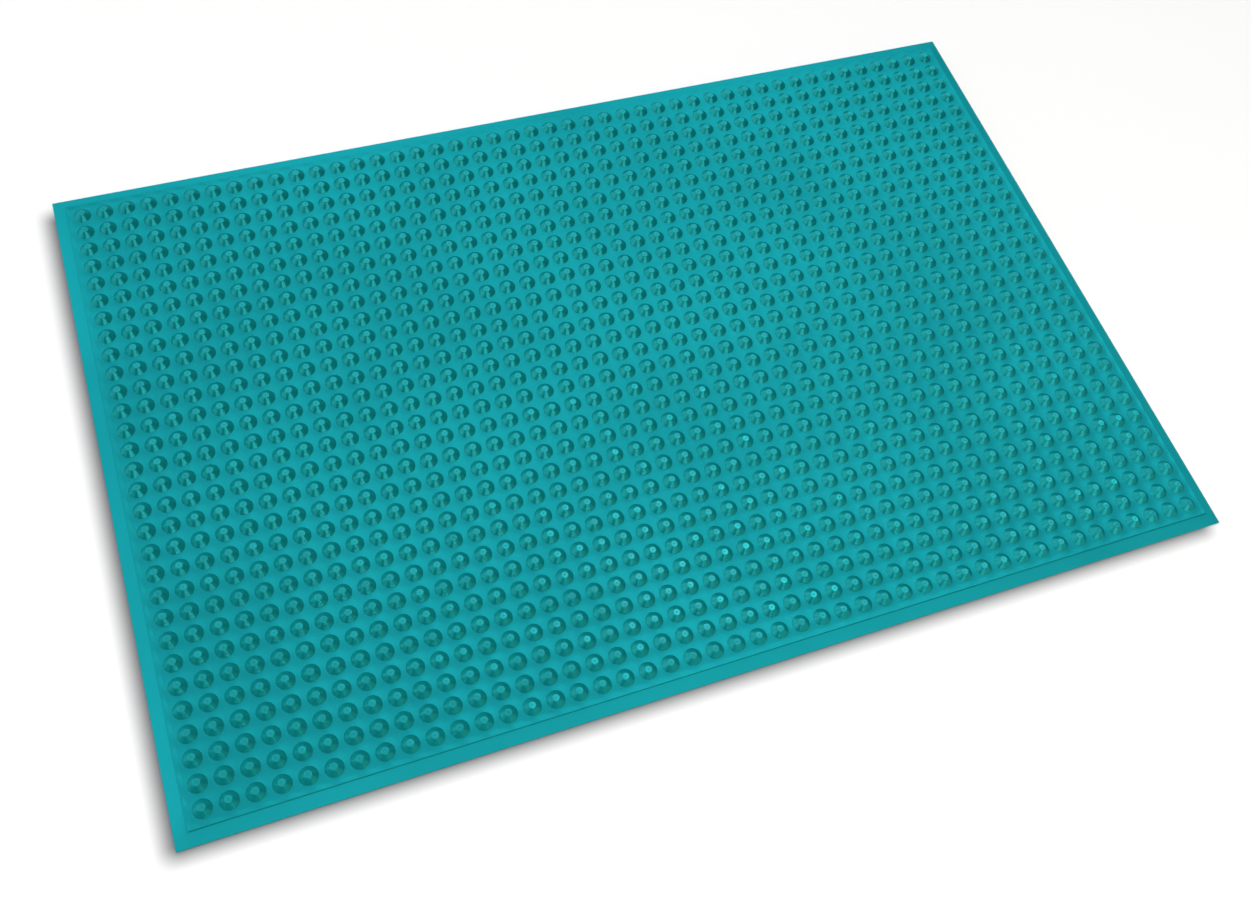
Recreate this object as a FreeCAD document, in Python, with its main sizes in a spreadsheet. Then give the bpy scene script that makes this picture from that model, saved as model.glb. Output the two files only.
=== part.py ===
"""Cleanroom anti-fatigue mat: one moulded sheet, bevelled on four sides, under a field of raised bumps.

The origin is the middle of the underside. X runs along the mat's length, Y along its width
and Z up through its thickness. Sizes are in millimetres.
"""

import FreeCAD, Part
import os
import Sketcher

from FreeCAD import Vector

# Driving sizes: name, value, meaning
SIZES = [
    ("columns", 46, "bumps along the length"),
    ("rows", 30, "bumps along the width"),
    ("pitch", 19, "from one bump to the next, both ways"),
    ("margin", 23.5, "from the outermost bump centres to the outline"),
    ("lip_height", 1, "upright edge where the mat meets the floor"),
    ("bevel_width", 10.5, "border's slope, seen from above"),
    ("bevel_rise", 3.7, "border's slope, from its lip to its upper edge"),
    ("step_height", 0.5, "small riser between the bevel and the field"),
    ("bump_height", 4.3, "from the field to a bump's flat top"),
    ("base_diameter", 15, "bump where it meets the field"),
    ("top_diameter", 5.4, "bump's flat top"),
]

# Sizes that follow from those above
DERIVED = [
    ("length", "=(columns - 1) * pitch + 2 * margin", "outline along X"),
    ("width", "=(rows - 1) * pitch + 2 * margin", "outline along Y"),
    ("slope_top", "=lip_height + bevel_rise", "height of the bevel's upper edge"),
    ("field_height", "=slope_top + step_height", "height of the surface between the bumps"),
    ("field_length", "=length - 2 * bevel_width", "raised field along X"),
    ("field_width", "=width - 2 * bevel_width", "raised field along Y"),
    ("first_column", "=-(columns - 1) * pitch / 2", "X of the first column of bumps"),
    ("first_row", "=-(rows - 1) * pitch / 2", "Y of the first row of bumps"),
]


def make_sheet(doc):
    """Return the spreadsheet of sizes; each alias is the name that expressions use."""
    sheet = doc.addObject("Spreadsheet::Sheet", "sizes")
    for row, (name, value, meaning) in enumerate(SIZES + DERIVED, start=1):
        sheet.set(f"A{row}", name)
        sheet.setAlias(f"B{row}", name)
        sheet.set(f"B{row}", str(value))
        sheet.set(f"C{row}", meaning)
    doc.recompute()
    return sheet


def origin_of(body, role):
    """Return the body's own origin plane or axis with this role."""
    return next(item for item in body.Origin.OriginFeatures if item.Role == role)


def new_sketch(body, name, plane):
    """Return an empty sketch attached flat to one of the body's origin planes."""
    sketch = body.newObject("Sketcher::SketchObject", name)
    sketch.AttachmentSupport = [(origin_of(body, plane), "")]
    sketch.MapMode = "FlatFace"
    return sketch


def centred_rectangle(body, name, length, width, height):
    """Return a sketch of a rectangle centred on the Z axis, at the height that an expression gives."""
    sketch = new_sketch(body, name, "XY_Plane")
    sketch.setExpression("AttachmentOffset.Base.z", height)
    corners = [Vector(-2, -1, 0), Vector(2, -1, 0), Vector(2, 1, 0), Vector(-2, 1, 0)]
    for start, end in zip(corners, corners[1:] + corners[:1]):
        sketch.addGeometry(Part.LineSegment(start, end), False)
    for side in range(4):
        sketch.addConstraint(Sketcher.Constraint("Coincident", side, 2, (side + 1) % 4, 1))
        sketch.addConstraint(Sketcher.Constraint(("Horizontal", "Vertical")[side % 2], side))
    sketch.addConstraint(Sketcher.Constraint("Symmetric", 0, 1, 2, 1, -1, 1))
    along = sketch.addConstraint(Sketcher.Constraint("DistanceX", 0, 1, 0, 2, 4.0))
    across = sketch.addConstraint(Sketcher.Constraint("DistanceY", 1, 1, 1, 2, 2.0))
    sketch.setExpression(f"Constraints[{along}]", length)
    sketch.setExpression(f"Constraints[{across}]", width)
    return sketch


def top_edges(shape):
    """Return the names of the edges that lie in the shape's highest plane."""
    height = shape.BoundBox.ZMax
    return [
        f"Edge{number}"
        for number, edge in enumerate(shape.Edges, start=1)
        if edge.BoundBox.ZMin > height - 1e-6
    ]


def make_plate(doc):
    """Return the body of the bare sheet: slab, bevel with mitred corners, and the field's low step."""
    body = doc.addObject("PartDesign::Body", "plate")
    slab = body.newObject("PartDesign::Pad", "slab")
    slab.Profile = centred_rectangle(body, "outline", "sizes.length", "sizes.width", "0")
    slab.setExpression("Length", "sizes.slope_top")
    doc.recompute()

    bevel = body.newObject("PartDesign::Chamfer", "bevel")
    bevel.Base = (slab, top_edges(slab.Shape))
    bevel.ChamferType = "Two distances"
    bevel.setExpression("Size", "sizes.bevel_rise")
    bevel.setExpression("Size2", "sizes.bevel_width")
    doc.recompute()

    field = body.newObject("PartDesign::Pad", "field")
    field.Profile = centred_rectangle(
        body, "field_outline", "sizes.field_length", "sizes.field_width", "sizes.slope_top"
    )
    field.setExpression("Length", "sizes.step_height")
    body.Tip = field
    doc.recompute()
    return body


def make_bump(doc):
    """Return one bump, a flat-topped cone that stands on the field at the lattice's first corner."""
    bump = doc.addObject("Part::Cone", "bump")
    bump.setExpression("Radius1", "sizes.base_diameter / 2")
    bump.setExpression("Radius2", "sizes.top_diameter / 2")
    bump.setExpression("Height", "sizes.bump_height")
    bump.setExpression("Placement.Base.x", "sizes.first_column")
    bump.setExpression("Placement.Base.y", "sizes.first_row")
    bump.setExpression("Placement.Base.z", "sizes.field_height")
    doc.recompute()
    return bump


def make_mat(doc, sheet, plate, bump):
    """Return the moulded mat: the plate with a bump at every point of the lattice, as one solid."""
    bumps = []
    for column in range(int(sheet.columns)):
        for row in range(int(sheet.rows)):
            copy = bump.Shape.copy()
            copy.translate(Vector(column * sheet.pitch, row * sheet.pitch, 0))
            bumps.append(copy)
    mat = doc.addObject("Part::Feature", "mat")
    mat.Label = "mat"
    mat.Shape = plate.Shape.multiFuse(bumps).Solids[0]
    return mat


def export(doc, nodes):
    """Check every object of the document, then write each node as a STEP file."""
    doc.recompute()
    for item in doc.Objects:
        if "Invalid" in item.State or "Error" in item.State:
            raise RuntimeError(f"{item.Label} did not compute: {item.State}")
    os.makedirs("parts", exist_ok=True)
    for node in nodes:
        if node.Shape.isNull() or not node.Shape.isValid():
            raise RuntimeError(f"{node.Label} is not a sound solid")
        node.Shape.exportStep(f"parts/{node.Label}.step")


def main():
    doc = FreeCAD.newDocument("mat")
    sheet = make_sheet(doc)
    plate = make_plate(doc)
    bump = make_bump(doc)
    export(doc, [make_mat(doc, sheet, plate, bump)])


main()
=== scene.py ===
"""Cleanroom anti-fatigue mat, dressed for the camera.

The frame brings the plain moulded sheet. One detailed skin takes its place: every raised bump with
its straight side, rounded rim and flat top, the low step round the field, and the bevelled border.
Relief that is too fine for the mesh, such as the pip on each bump, is in the material. Lengths are
in metres, and the frame is the sheet's own: X along the mat, Y across it, Z up.
"""

from __future__ import annotations

import logging
import math
from dataclasses import dataclass, field
from enum import Enum
from typing import Callable, Iterator

import bpy
from mathutils import Matrix, Vector

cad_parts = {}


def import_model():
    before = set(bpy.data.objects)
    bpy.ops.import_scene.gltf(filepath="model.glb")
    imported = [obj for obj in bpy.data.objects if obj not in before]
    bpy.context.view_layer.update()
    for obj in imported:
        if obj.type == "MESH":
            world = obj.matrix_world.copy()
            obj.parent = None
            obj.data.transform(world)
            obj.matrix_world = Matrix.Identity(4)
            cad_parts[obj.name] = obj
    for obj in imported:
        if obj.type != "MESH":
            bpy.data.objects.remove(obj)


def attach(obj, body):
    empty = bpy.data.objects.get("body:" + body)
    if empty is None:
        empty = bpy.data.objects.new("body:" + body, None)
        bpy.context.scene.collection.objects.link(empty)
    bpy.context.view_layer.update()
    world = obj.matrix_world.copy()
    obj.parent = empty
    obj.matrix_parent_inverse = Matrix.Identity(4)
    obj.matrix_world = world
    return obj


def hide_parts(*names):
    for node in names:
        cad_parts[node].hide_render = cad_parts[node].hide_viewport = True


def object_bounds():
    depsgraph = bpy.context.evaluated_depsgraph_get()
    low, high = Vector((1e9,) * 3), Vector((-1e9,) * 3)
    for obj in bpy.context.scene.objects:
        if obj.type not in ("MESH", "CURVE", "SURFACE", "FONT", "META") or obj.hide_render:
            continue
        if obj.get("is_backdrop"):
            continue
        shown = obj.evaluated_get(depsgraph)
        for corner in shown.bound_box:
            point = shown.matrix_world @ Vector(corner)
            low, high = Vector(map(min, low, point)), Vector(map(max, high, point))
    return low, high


LOG = logging.getLogger("mat")
MM = 0.001
CLOSE = 0.01 * MM

Colour = tuple[float, float, float, float]
Span = tuple[float, float]


# Choosing what an operator acts on


def deselect_all() -> None:
    """Leave object mode with nothing selected."""
    if bpy.context.object and bpy.context.object.mode != "OBJECT":
        bpy.ops.object.mode_set(mode="OBJECT")
    bpy.ops.object.select_all(action="DESELECT")


def choose_edges(piece: bpy.types.Object, wanted: Callable[[Vector, Vector], bool]) -> int:
    """Select the edges whose two ends satisfy a test, and leave the piece in edit mode.

    Args:
        piece: The mesh object, active and in edit mode.
        wanted: Takes the two ends of an edge and says whether it is chosen.

    Returns:
        How many edges were chosen.
    """
    bpy.ops.mesh.select_mode(type="EDGE")
    bpy.ops.mesh.select_all(action="DESELECT")
    bpy.ops.object.mode_set(mode="OBJECT")
    points = piece.data.vertices
    count = 0
    for edge in piece.data.edges:
        start, end = (points[index].co for index in edge.vertices)
        edge.select = wanted(start, end)
        count += edge.select
    bpy.ops.object.mode_set(mode="EDIT")
    return count


def grow_loop(height: float, scale_x: float, scale_y: float, centre: Vector) -> None:
    """Extrude the chosen loop straight up or down, then widen or narrow it about a centre.

    Args:
        height: How far the new loop lies above the old one.
        scale_x: Its width along X as a share of the old loop's.
        scale_y: Its width along Y as a share of the old loop's.
        centre: The point that the loop is widened about.
    """
    bpy.ops.mesh.extrude_region_move(TRANSFORM_OT_translate={"value": (0, 0, height)})
    bpy.ops.transform.resize(value=(scale_x, scale_y, 1), center_override=centre)


def close_shell() -> None:
    """Fill the chosen loop with one face, turn all faces outwards and leave edit mode."""
    bpy.ops.mesh.edge_face_add()
    bpy.ops.mesh.select_all(action="SELECT")
    bpy.ops.mesh.normals_make_consistent(inside=False)
    bpy.ops.object.mode_set(mode="OBJECT")


# Sizes of the mat, as its mould has them


@dataclass
class Bump:
    """One raised bump: a flat-topped cone with a slightly rounded rim."""

    base_radius: float = 7.5 * MM
    top_radius: float = 2.7 * MM
    height: float = 4.3 * MM
    sides: int = 20
    rim: float = 0.22 * MM

    def outline(self) -> list[tuple[float, float]]:
        """Work out the rings from the foot to the flat top.

        Returns:
            Each ring's radius and its height above the field.
        """
        foot = Vector((self.base_radius, 0))
        edge = Vector((self.top_radius, self.height))
        down = (foot - edge).normalized() * self.rim
        return [tuple(point) for point in (foot, edge + down, edge - Vector((self.rim, 0)))]


@dataclass
class Border:
    """The mat's edge: a low step down from the field, a wide bevel, and an upright lip."""

    bevel_width: float = 10.5 * MM
    bevel_rise: float = 3.7 * MM
    step_height: float = 0.5 * MM
    lip_height: float = 1.0 * MM
    softening: float = 0.3 * MM
    softening_steps: int = 2

    @property
    def field_height(self) -> float:
        """Height of the surface between the bumps."""
        return self.lip_height + self.bevel_rise + self.step_height


# Shader expressions


class Axis(Enum):
    """The parts of a vector."""

    X = "X"
    Y = "Y"
    Z = "Z"


class Draw(Enum):
    """What a random draw gives."""

    NUMBER = "Value"
    VECTOR = "Color"


class Signal:
    """A number or vector that varies over the surface, so that shader maths reads as arithmetic."""

    def __init__(self, bench: Bench, socket: bpy.types.NodeSocket) -> None:
        """Wrap one output socket of the bench's node tree."""
        self.bench = bench
        self.socket = socket

    def _math(self, operation: str, *values: Signal | float) -> Signal:
        """Return the result of one Math node on the given values."""
        return self.bench.node("ShaderNodeMath", {"operation": operation}, dict(enumerate(values)))

    def __add__(self, other: Signal | float) -> Signal:
        """Sum."""
        return self._math("ADD", self, other)

    def __sub__(self, other: Signal | float) -> Signal:
        """Difference."""
        return self._math("SUBTRACT", self, other)

    def __rsub__(self, other: float) -> Signal:
        """Difference from a plain number."""
        return self._math("SUBTRACT", other, self)

    def __mul__(self, other: Signal | float) -> Signal:
        """Product."""
        return self._math("MULTIPLY", self, other)

    def __truediv__(self, other: Signal | float) -> Signal:
        """Quotient."""
        return self._math("DIVIDE", self, other)

    def __pow__(self, other: float) -> Signal:
        """Power."""
        return self._math("POWER", self, other)

    __radd__ = __add__
    __rmul__ = __mul__

    def cosine(self) -> Signal:
        """Cosine of an angle in radians."""
        return self._math("COSINE", self)

    def size(self) -> Signal:
        """The same number without its sign."""
        return self._math("ABSOLUTE", self)

    def or_larger(self, other: Signal | float) -> Signal:
        """The larger of two numbers."""
        return self._math("MAXIMUM", self, other)

    def rounded(self) -> Signal:
        """Nearest whole number."""
        return self._math("ROUND", self)

    def clamped(self, low: float, high: float) -> Signal:
        """The same number, kept between two limits."""
        return self._math("MINIMUM", self._math("MAXIMUM", self, low), high)

    def ramp(self, start: float, end: float) -> Signal:
        """Rise smoothly from 0 at one value to 1 at another.

        Args:
            start: Where the rise starts.
            end: Where the rise ends.

        Returns:
            The share of the rise that is reached.
        """
        settings = {"interpolation_type": "SMOOTHSTEP"}
        inputs = {"Value": self, "From Min": start, "From Max": end}
        return self.bench.node("ShaderNodeMapRange", settings, inputs)

    def part(self, axis: Axis) -> Signal:
        """One part of a vector."""
        return self.bench.node("ShaderNodeSeparateXYZ", inputs={0: self}, output=axis.value)


@dataclass(frozen=True)
class Pattern:
    """A noise: how many features there are to a metre, and how many finer levels lie on them."""

    scale: float
    detail: float


@dataclass
class Bench:
    """The node tree of one material, with one way to add a node of any kind."""

    tree: bpy.types.NodeTree

    def node(
        self,
        kind: str,
        settings: dict[str, object] | None = None,
        inputs: dict[str | int, object] | None = None,
        output: str | int = 0,
    ) -> Signal:
        """Add a node and return one of its outputs.

        Args:
            kind: The node's type name.
            settings: Attributes that are set before its sockets are used.
            inputs: Values or signals by socket name or number.
            output: Name or number of the output to return.

        Returns:
            The chosen output, wrapped.
        """
        made = self.tree.nodes.new(kind)
        for name, value in (settings or {}).items():
            setattr(made, name, value)
        for name, value in (inputs or {}).items():
            if isinstance(value, Signal):
                self.tree.links.new(value.socket, made.inputs[name])
            else:
                made.inputs[name].default_value = value
        return Signal(self, made.outputs[output])

    def finish(self, kind: str, surface: Signal) -> None:
        """End the tree with an output node of the given kind, fed by a surface."""
        made = self.tree.nodes.new(kind)
        self.tree.links.new(surface.socket, made.inputs["Surface"])

    def blend(self, share: Signal, first: object, second: object) -> Signal:
        """Mix two colours by a share between 0 and 1.

        Args:
            share: 0 gives the first colour and 1 the second.
            first: A colour or a signal.
            second: A colour or a signal.

        Returns:
            The mixed colour.
        """
        settings = {"data_type": "RGBA"}
        inputs = {"Factor": share, 6: first, 7: second}
        return self.node("ShaderNodeMix", settings, inputs, output=2)

    def vector(self, operation: str, inputs: dict[str | int, object]) -> Signal:
        """Return the result of one Vector Math node."""
        return self.node("ShaderNodeVectorMath", {"operation": operation}, inputs)

    def noise(self, place: Signal, pattern: Pattern) -> Signal:
        """Return a pattern's strength at a place."""
        inputs = {"Vector": place, "Scale": pattern.scale, "Detail": pattern.detail}
        return self.node("ShaderNodeTexNoise", inputs=inputs)

    def lot(self, cell: Signal, draw: Draw) -> Signal:
        """Return the random number or vector that falls to a cell."""
        settings = {"noise_dimensions": "3D"}
        return self.node("ShaderNodeTexWhiteNoise", settings, {"Vector": cell}, draw.value)


def fresh_material(name: str) -> tuple[bpy.types.Material, Bench]:
    """Make a material with an empty node tree.

    Args:
        name: The material's name.

    Returns:
        The material, and the bench to fill it on.
    """
    material = bpy.data.materials.new(name)
    material.use_nodes = True
    material.node_tree.nodes.clear()
    return material, Bench(material.node_tree)


@dataclass(frozen=True)
class Masks:
    """Signals that tell the parts of the mat's surface apart.

    Those that start with on_ are 1 on their part and 0 off it. The cell is a vector that is the
    same all over one bump and its surroundings, off_x and off_y lead there from the bump's middle,
    and past_field is the distance beyond the field's outline.
    """

    place: Signal
    cell: Signal
    off_x: Signal
    off_y: Signal
    on_bump: Signal
    on_flank: Signal
    on_top: Signal
    on_pip: Signal
    on_left: Signal
    past_field: Signal


@dataclass(frozen=True)
class MouldedPolyurethane:
    """Teal polyurethane from the mould: glossy on the bumps, satin between them, dull on the bevel.

    Its highlights are teal and not white, so the gloss comes from a small metallic share with a
    teal edge, and the bumps have a thin clear coat as well.
    """

    # Colours and how they cloud over the mat; the bumps and the line above the bevel carry painted
    # shade
    body: Colour = (0.009, 0.336, 0.382, 1)
    # Painted shade: the bumps' sloped sides are darker and greener than the field all round.
    flank_shade: Colour = (0.0035, 0.230, 0.235, 1)
    # The tops' own teal, with a little more red as a painted highlight for their whiter glints.
    top_and_highlight: Colour = (0.013, 0.336, 0.366, 1)
    # Painted shade: the pip in the middle of each top is darker.
    pip_shade: Colour = (0.007, 0.215, 0.245, 1)
    # Painted shade: the dark line in the step just outside the field.
    groove_shade: Colour = (0.002, 0.158, 0.148, 1)
    glint: Colour = (0.045, 0.68, 0.9, 1)
    clouds: Pattern = Pattern(5, 3)
    cloud_span: Span = (0.35, 0.7)
    cloud_tone: float = 0.86
    # How much of that painted shade is lifted on the left side, which faces the light.
    left_light: float = 0.65

    # Sheen
    lustre: float = 0.25
    flank_lustre: float = 0.26
    bump_coat: float = 0.3
    coat_roughness: float = 0.15
    coat_ior: float = 1.25
    field_roughness: float = 0.29
    dust: Pattern = Pattern(70, 6)
    dust_roughness: float = 0.12
    bump_roughness: float = 0.17
    lot_roughness: float = 0.08
    lot_level: float = 0.5
    bevel_roughness: float = 0.6

    # Relief, where the pip is deepest within a share of its radius
    pip_radius: float = 0.7 * MM
    pip_floor: float = 0.3
    pip_depth: float = 0.14 * MM
    dish_depth: float = 0.28 * MM
    dish_fade: float = 4 * MM
    grain: Pattern = Pattern(900, 2)
    grain_depth: float = 0.012 * MM
    ripple: Pattern = Pattern(420, 2)
    ripple_depth: float = 0.2 * MM
    top_tilt: float = 0.11

    # How softly one part of the surface passes into the next
    foot_blur: float = 0.3 * MM
    rim_blur: Span = (-0.1 * MM, 0.3 * MM)
    groove_lead: float = 0.1 * MM
    groove_width: float = 0.55 * MM
    left_strip: Span = (13 * MM, 11 * MM)

    def material(self, mat: Mat) -> bpy.types.Material:
        """Build the material for a mat, whose lattice places the finish on each bump.

        Args:
            mat: The mat that gives the lattice, the bump's radii and the border.

        Returns:
            The finished material.
        """
        material, bench = fresh_material("moulded_polyurethane")
        masks = self._masks(bench, mat)
        surface = bench.node(
            "ShaderNodeBsdfPrincipled",
            inputs={
                "Base Color": self._colour(bench, masks),
                "Metallic": self.lustre + masks.on_flank * (self.flank_lustre - self.lustre),
                "Roughness": self._roughness(bench, masks),
                "Normal": self._normal(bench, masks, mat.pitch),
                "Specular IOR Level": 0.0,
                "Specular Tint": self.glint,
                "Coat Weight": masks.on_bump * self.bump_coat,
                "Coat Roughness": self.coat_roughness,
                "Coat IOR": self.coat_ior,
            },
        )
        bench.finish("ShaderNodeOutputMaterial", surface)
        return material

    def _masks(self, bench: Bench, mat: Mat) -> Masks:
        """Work out which part of the mat a point of its surface belongs to.

        Args:
            bench: The bench that the material is made on.
            mat: The mat whose lattice, bumps and border are followed.

        Returns:
            The masks and distances that the finish is laid by.
        """
        place = bench.node("ShaderNodeTexCoord", output="Object")
        x, y = place.part(Axis.X), place.part(Axis.Y)
        column = ((x - mat.first_column) / mat.pitch).rounded().clamped(0, mat.columns - 1)
        row = ((y - mat.first_row) / mat.pitch).rounded().clamped(0, mat.rows - 1)
        off_x = x - (column * mat.pitch + mat.first_column)
        off_y = y - (row * mat.pitch + mat.first_row)
        distance = (off_x * off_x + off_y * off_y) ** 0.5
        foot, rim = mat.bump.base_radius, mat.bump.top_radius
        on_bump = 1 - distance.ramp(foot - self.foot_blur, foot)
        on_top = 1 - distance.ramp(*(rim + blur for blur in self.rim_blur))
        half_length, half_width = mat.length / 2, mat.width / 2
        past_ends = x.size() - (half_length - mat.border.bevel_width)
        past_sides = y.size() - (half_width - mat.border.bevel_width)
        return Masks(
            place=place,
            cell=bench.node("ShaderNodeCombineXYZ", inputs={0: column, 1: row, 2: self.lot_level}),
            off_x=off_x,
            off_y=off_y,
            on_bump=on_bump,
            on_flank=on_bump * (1 - on_top),
            on_top=on_top,
            on_pip=1 - distance.ramp(self.pip_floor * self.pip_radius, self.pip_radius),
            on_left=(0 - x).ramp(*(half_length - inset for inset in self.left_strip)),
            past_field=past_ends.or_larger(past_sides),
        )

    def _colour(self, bench: Bench, masks: Masks) -> Signal:
        """Lay the colours over each other, from the body to the painted shade above the bevel.

        Args:
            bench: The bench that the material is made on.
            masks: The parts of the surface.

        Returns:
            The base colour.
        """
        deeper = tuple(self.cloud_tone * channel for channel in self.body[:3]) + (1,)
        clouded = bench.noise(masks.place, self.clouds).ramp(*self.cloud_span)
        # Painted shade in the step just outside the field's outline, lighter on the left.
        groove_shade_mask = masks.past_field.ramp(-self.groove_lead, 0.0) * (
            1 - masks.past_field.ramp(0.5 * self.groove_width, self.groove_width)
        )
        layers = (
            (clouded, deeper),
            (masks.on_flank, self.flank_shade),
            (masks.on_top, self.top_and_highlight),
            (masks.on_pip, self.pip_shade),
            (groove_shade_mask * (1 - self.left_light * masks.on_left), self.groove_shade),
        )
        colour = self.body
        for mask, layer in layers:
            colour = bench.blend(mask, colour, layer)
        return colour

    def _roughness(self, bench: Bench, masks: Masks) -> Signal:
        """Let the field's sheen vary from place to place and the bumps' from one to the next.

        Args:
            bench: The bench that the material is made on.
            masks: The parts of the surface.

        Returns:
            The roughness.
        """
        plain = self.field_roughness + self.dust_roughness * bench.noise(masks.place, self.dust)
        on_bevel = masks.past_field.ramp(0.0, self.groove_width)
        flat = plain + (self.bevel_roughness - plain) * on_bevel
        raised = self.bump_roughness + self.lot_roughness * bench.lot(masks.cell, Draw.NUMBER)
        return flat + (raised - flat) * masks.on_bump

    def _normal(self, bench: Bench, masks: Masks, pitch: float) -> Signal:
        """Raise the fine relief, and lean each bump's top a little its own way.

        Args:
            bench: The bench that the material is made on.
            masks: The parts of the surface.
            pitch: The distance from one bump to the next.

        Returns:
            The normal.
        """
        turn = 2 * math.pi / pitch
        waves = (masks.off_x * turn).cosine() + (masks.off_y * turn).cosine()
        in_field = 1 - masks.past_field.ramp(-self.dish_fade, 0.0)
        relief = (
            bench.noise(masks.place, self.grain) * self.grain_depth
            - masks.on_pip * self.pip_depth
            + waves * (1 - masks.on_bump) * in_field * self.dish_depth
            + bench.noise(masks.place, self.ripple) * masks.on_flank * self.ripple_depth
        )
        whole = {"Height": relief, "Distance": 1.0, "Strength": 1.0}
        bumped = bench.node("ShaderNodeBump", inputs=whole)
        drawn = bench.lot(masks.cell, Draw.VECTOR)
        centred = bench.vector("SUBTRACT", {0: drawn, 1: (0.5, 0.5, 0.5)})
        lean = bench.vector("SCALE", {0: centred, "Scale": masks.on_top * self.top_tilt})
        return bench.vector("NORMALIZE", {0: bench.vector("ADD", {0: bumped, 1: lean})})


@dataclass
class Mat:
    """The whole mat, moulded in one piece."""

    length: float
    width: float
    columns: int = 46
    rows: int = 30
    pitch: float = 19 * MM
    weld: float = 0.05 * MM
    smooth_below: float = math.radians(32)
    bump: Bump = field(default_factory=Bump)
    border: Border = field(default_factory=Border)
    finish: MouldedPolyurethane = MouldedPolyurethane()

    @property
    def first_column(self) -> float:
        """X of the first column of bumps."""
        return -(self.columns - 1) * self.pitch / 2

    @property
    def first_row(self) -> float:
        """Y of the first row of bumps."""
        return -(self.rows - 1) * self.pitch / 2

    def build(self) -> bpy.types.Object:
        """Model the mat and dress it.

        Returns:
            The finished mesh object.
        """
        piece = self._first_cell()
        self._fill_lattice(piece)
        self._add_border()
        self._soften_edges(piece)
        piece.data.materials.append(self.finish.material(self))
        return piece

    def _first_cell(self) -> bpy.types.Object:
        """Model one square cell of the field with its bump, open at the four sides.

        Returns:
            The cell's mesh object, active and selected.
        """
        centre = Vector((self.first_column, self.first_row, self.border.field_height))
        outline = self.bump.outline()
        foot = self.bump.base_radius
        deselect_all()
        bpy.ops.mesh.primitive_plane_add(size=self.pitch, location=centre)
        piece = bpy.context.object
        piece.name = "moulded_mat"
        bpy.ops.object.transform_apply(location=True, rotation=True, scale=True)
        bpy.ops.object.mode_set(mode="EDIT")
        bpy.ops.mesh.delete(type="ONLY_FACE")
        bpy.ops.mesh.primitive_circle_add(
            vertices=self.bump.sides, radius=foot, fill_type="NOTHING", location=centre
        )
        bpy.ops.mesh.select_all(action="SELECT")
        bpy.ops.mesh.bridge_edge_loops()
        reach = foot + CLOSE
        choose_edges(piece, lambda a, b: max((a - centre).length, (b - centre).length) < reach)
        for (wide, low), (narrow, high) in zip(outline, outline[1:]):
            grow_loop(high - low, narrow / wide, narrow / wide, centre)
        close_shell()
        return piece

    def _fill_lattice(self, piece: bpy.types.Object) -> None:
        """Repeat the cell along both sides of the lattice and weld the cells together.

        Args:
            piece: The cell's mesh object, active.
        """
        runs = ((self.columns, Vector((self.pitch, 0, 0))), (self.rows, Vector((0, self.pitch, 0))))
        for count, step in runs:
            array = piece.modifiers.new("cells", "ARRAY")
            array.count = count
            array.use_relative_offset = False
            array.use_constant_offset = True
            array.constant_offset_displace = step
            array.use_merge_vertices = True
            array.merge_threshold = self.weld
            bpy.ops.object.modifier_apply(modifier=array.name)

    def _border_rings(self) -> Iterator[tuple[float, float, float]]:
        """Go round the lattice, ring by ring, from its open edge to the mat's underside.

        Yields:
            Each ring's half length, half width and height.
        """
        border = self.border
        inset = border.bevel_width
        half_x, half_y = self.length / 2, self.width / 2
        yield self.columns * self.pitch / 2, self.rows * self.pitch / 2, border.field_height
        yield half_x - inset, half_y - inset, border.field_height
        yield half_x - inset, half_y - inset, border.field_height - border.step_height
        yield half_x, half_y, border.lip_height
        yield half_x, half_y, 0.0

    def _add_border(self) -> None:
        """Extrude the field's open edge into the step, the bevel, the lip and the underside."""
        rings = list(self._border_rings())
        bpy.ops.object.mode_set(mode="EDIT")
        bpy.ops.mesh.select_mode(type="EDGE")
        bpy.ops.mesh.select_all(action="DESELECT")
        bpy.ops.mesh.select_non_manifold(
            extend=False,
            use_wire=False,
            use_multi_face=False,
            use_non_contiguous=False,
            use_verts=False,
        )
        for (from_x, from_y, high), (to_x, to_y, low) in zip(rings, rings[1:]):
            grow_loop(low - high, to_x / from_x, to_y / from_y, Vector((0, 0, low)))
        close_shell()

    def _soften_edges(self, piece: bpy.types.Object) -> None:
        """Round the lip's edges a little, then smooth the shading round each bump.

        Args:
            piece: The closed mesh object, active.
        """
        lip_rings = list(self._border_rings())[-2:]

        def on_ring(point: Vector) -> set[int]:
            """Find which of the lip's two rings a point lies on.

            Args:
                point: A corner of the mesh.

            Returns:
                The rings' numbers.
            """
            found = set()
            for number, (half_x, half_y, height) in enumerate(lip_rings):
                beside = min(abs(abs(point.x) - half_x), abs(abs(point.y) - half_y)) < CLOSE
                if beside and abs(point.z - height) < CLOSE:
                    found.add(number)
            return found

        bpy.ops.object.mode_set(mode="EDIT")
        chosen = choose_edges(piece, lambda a, b: bool(on_ring(a) & on_ring(b)))
        bpy.ops.mesh.bevel(
            offset=self.border.softening,
            offset_type="OFFSET",
            segments=self.border.softening_steps,
            affect="EDGES",
            clamp_overlap=True,
        )
        LOG.info("softened %d edges of the border", chosen)
        bpy.ops.object.mode_set(mode="OBJECT")
        bpy.ops.object.shade_smooth_by_angle(angle=self.smooth_below)
        even = piece.modifiers.new("even shading", "WEIGHTED_NORMAL")
        even.keep_sharp = True
        bpy.ops.object.modifier_apply(modifier=even.name)


# The studio round the mat


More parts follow.
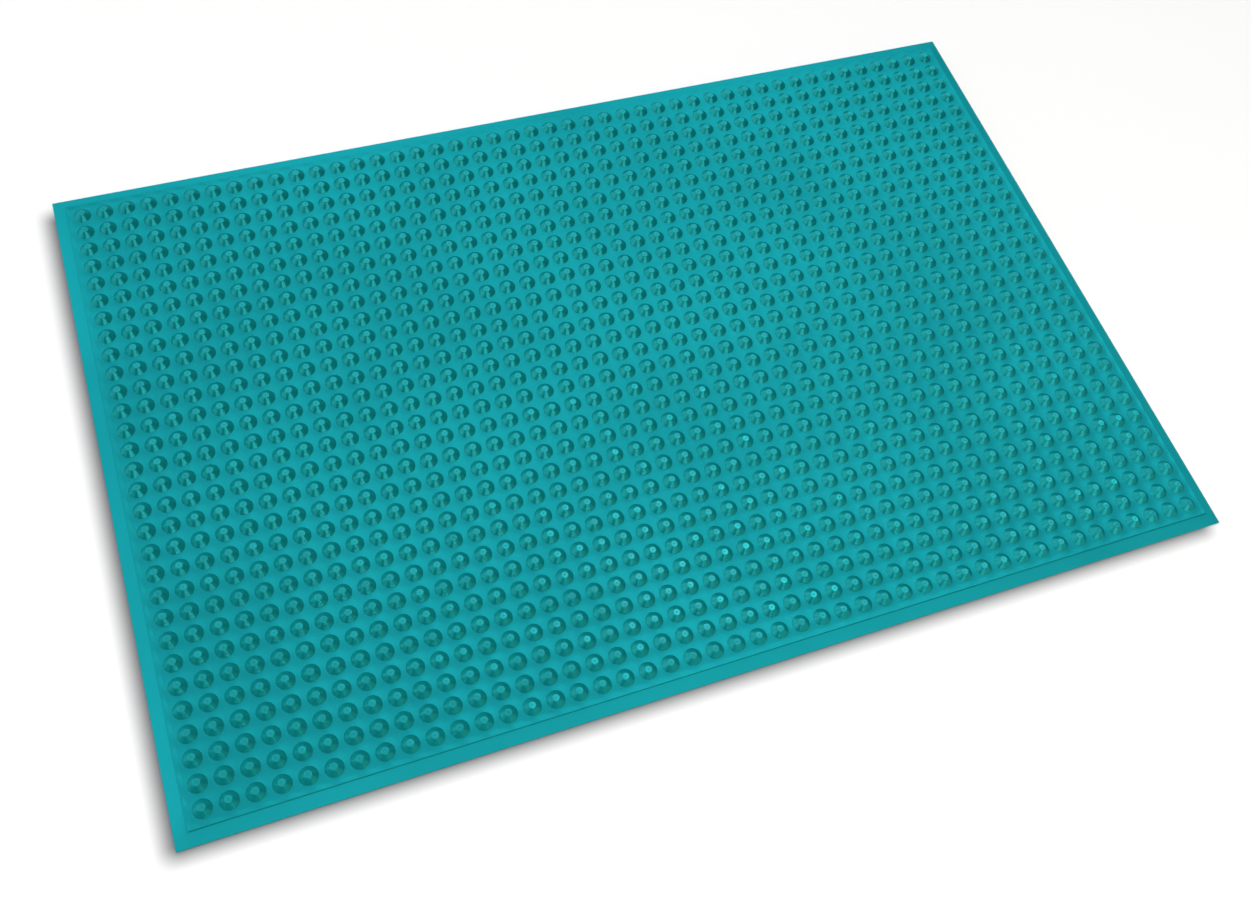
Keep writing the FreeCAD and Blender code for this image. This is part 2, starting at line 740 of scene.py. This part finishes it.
@dataclass(frozen=True)
class Softbox:
    """One large soft lamp, placed by direction and distance and turned to the mat.

    Azimuth turns from the mat's front towards its right, and elevation rises from the floor, both
    in degrees. Brightness is the radiance of the lamp's face.
    """

    name: str
    azimuth: float
    elevation: float
    width: float
    height: float
    brightness: float
    distance: float = 8.0
    colour: tuple[float, float, float] = (1, 1, 1)

    def build(self) -> None:
        """Add the lamp to the scene."""
        turn, rise = math.radians(self.azimuth), math.radians(self.elevation)
        level = math.cos(rise) * self.distance
        up = math.sin(rise) * self.distance
        place = Vector((level * math.sin(turn), -level * math.cos(turn), up))
        deselect_all()
        bpy.ops.object.light_add(type="AREA", location=place)
        lamp = bpy.context.object
        lamp.name = self.name
        lamp.rotation_euler = (-place).to_track_quat("-Z", "Y").to_euler()
        lamp.data.shape = "RECTANGLE"
        lamp.data.size = self.width
        lamp.data.size_y = self.height
        lamp.data.energy = self.brightness * math.pi * self.width * self.height
        lamp.data.color = self.colour
        lamp.visible_camera = False


@dataclass
class Studio:
    """White floor with a painted soft shadow of the mat, large lamps, and a dark room with white
    wall feet.
    """

    length: float
    width: float
    ceiling: float = 0.02
    wall_span: Span = (0.02, 0.20)
    floor_side: float = 4.2
    floor_drop: float = 0.05 * MM
    floor_fade: Span = (1.2, 2.0)
    floor_white: float = 0.99
    # The painted shadow: how much it dims the floor, its tint, and where it fades at each side.
    shade: float = 0.85
    shade_tint: tuple[float, float, float] = (0.96, 1.0, 1.08)
    left_shadow: Span = (-20 * MM, 4 * MM)
    front_shadow: Span = (-18 * MM, 6 * MM)
    far_shadow: Span = (0.0, 22 * MM)
    lamps: tuple[Softbox, ...] = (
        Softbox("front", -1, 45, 2.3, 1.75, 3.7, distance=3.0),
        Softbox("front right", 32, 14, 2.6, 1.1, 0.95, distance=2.2, colour=(1.0, 1.0, 0.65)),
        Softbox("left front", -84, 38, 5.8, 5.8, 1.6),
        Softbox("left back", -120, 27, 7.5, 6.5, 1.7),
        Softbox("back low", 152, 28, 7.1, 4.0, 1.85),
        Softbox("back high", 152, 58, 7.1, 4.0, 1.4),
        Softbox("back left", 195, 20, 7.0, 4.2, 2.0),
        Softbox("middle spot", 141, 67, 1.1, 1.1, 6.0),
        Softbox("right spot", 113, 55, 0.75, 0.75, 5.0),
    )

    def build(self) -> None:
        """Light the room, lay the floor and hang the lamps."""
        self._light_room()
        self._lay_floor()
        for lamp in self.lamps:
            lamp.build()

    def _light_room(self) -> None:
        """Make a room whose walls are white at the foot and fade into a dark ceiling."""
        world = bpy.data.worlds.new("room")
        bpy.context.scene.world = world
        world.use_nodes = True
        world.node_tree.nodes.clear()
        bench = Bench(world.node_tree)
        rise = bench.node("ShaderNodeTexCoord", output="Generated").part(Axis.Z)
        wall = 1 - rise.ramp(*self.wall_span)
        light = bench.node(
            "ShaderNodeBackground",
            inputs={"Color": (1, 1, 1, 1), "Strength": self.ceiling + wall * (1 - self.ceiling)},
        )
        bench.finish("ShaderNodeOutputWorld", light)

    def _lay_floor(self) -> None:
        """Lay a white floor with the mat's cast shadow and a painted soft one, fading to white far
        away.
        """
        deselect_all()
        bpy.ops.mesh.primitive_plane_add(size=self.floor_side, location=(0, 0, -self.floor_drop))
        floor = bpy.context.object
        floor.name = "floor"
        material, bench = fresh_material("studio_floor")
        place = bench.node("ShaderNodeTexCoord", output="Object")
        x, y = place.part(Axis.X), place.part(Axis.Y)
        end, side = self.length / 2, self.width / 2
        # Painted shadow: the floor darkens beyond the mat's left and front edges.
        across = (x + end).ramp(*self.left_shadow) * (end - x).ramp(*self.far_shadow)
        along = (y + side).ramp(*self.front_shadow) * (side - y).ramp(*self.far_shadow)
        white = (self.floor_white,) * 3 + (1,)
        dimmed = self.floor_white * (1 - self.shade)
        shadow_grey = tuple(dimmed * tint for tint in self.shade_tint) + (1,)
        reach = (x * x + y * y) ** 0.5
        surface = bench.node(
            "ShaderNodeBsdfPrincipled",
            inputs={
                "Base Color": bench.blend(across * along, white, shadow_grey),
                "Roughness": 1.0,
                "Specular IOR Level": 0.0,
                "Alpha": 1 - reach.ramp(*self.floor_fade),
            },
        )
        bench.finish("ShaderNodeOutputMaterial", surface)
        floor.data.materials.append(material)
        floor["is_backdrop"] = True


@dataclass(frozen=True)
class Viewpoint:
    """The camera that looks down on the mat from in front and from the left."""

    place: tuple[float, float, float] = (-0.3075, -0.5489, 0.9747)
    forward: tuple[float, float, float] = (0.26155, 0.41282, -0.87245)
    up: tuple[float, float, float] = (0.24435, 0.84615, 0.47363)
    sensor_width: float = 36.0
    lens: float = 37.228
    shift_x: float = -0.0196

    def build(self) -> None:
        """Add the camera and make it the scene's own."""
        back = -Vector(self.forward).normalized()
        right = Vector(self.up).cross(back).normalized()
        above = back.cross(right)
        turn = Matrix((right, above, back)).transposed().to_4x4()
        deselect_all()
        bpy.ops.object.camera_add()
        camera = bpy.context.object
        camera.name = "camera"
        camera.matrix_world = Matrix.Translation(Vector(self.place)) @ turn
        camera.data.sensor_width = self.sensor_width
        camera.data.lens = self.lens
        camera.data.shift_x = self.shift_x
        bpy.context.scene.camera = camera


def main() -> None:
    """Load the frame, measure its box, and build the mat and its studio."""
    logging.basicConfig(level=logging.INFO, format="%(name)s: %(message)s")
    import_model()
    solid_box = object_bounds()
    low, high = (Vector(corner) for corner in solid_box)
    mat = Mat(length=high.x - low.x, width=high.y - low.y)
    piece = mat.build()
    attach(piece, "root")
    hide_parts("mat")
    LOG.info("mat: %d faces", len(piece.data.polygons))
    Studio(mat.length, mat.width).build()
    Viewpoint().build()
    bpy.context.scene.view_settings.view_transform = "Standard"


if __name__ == "__main__":
    main()
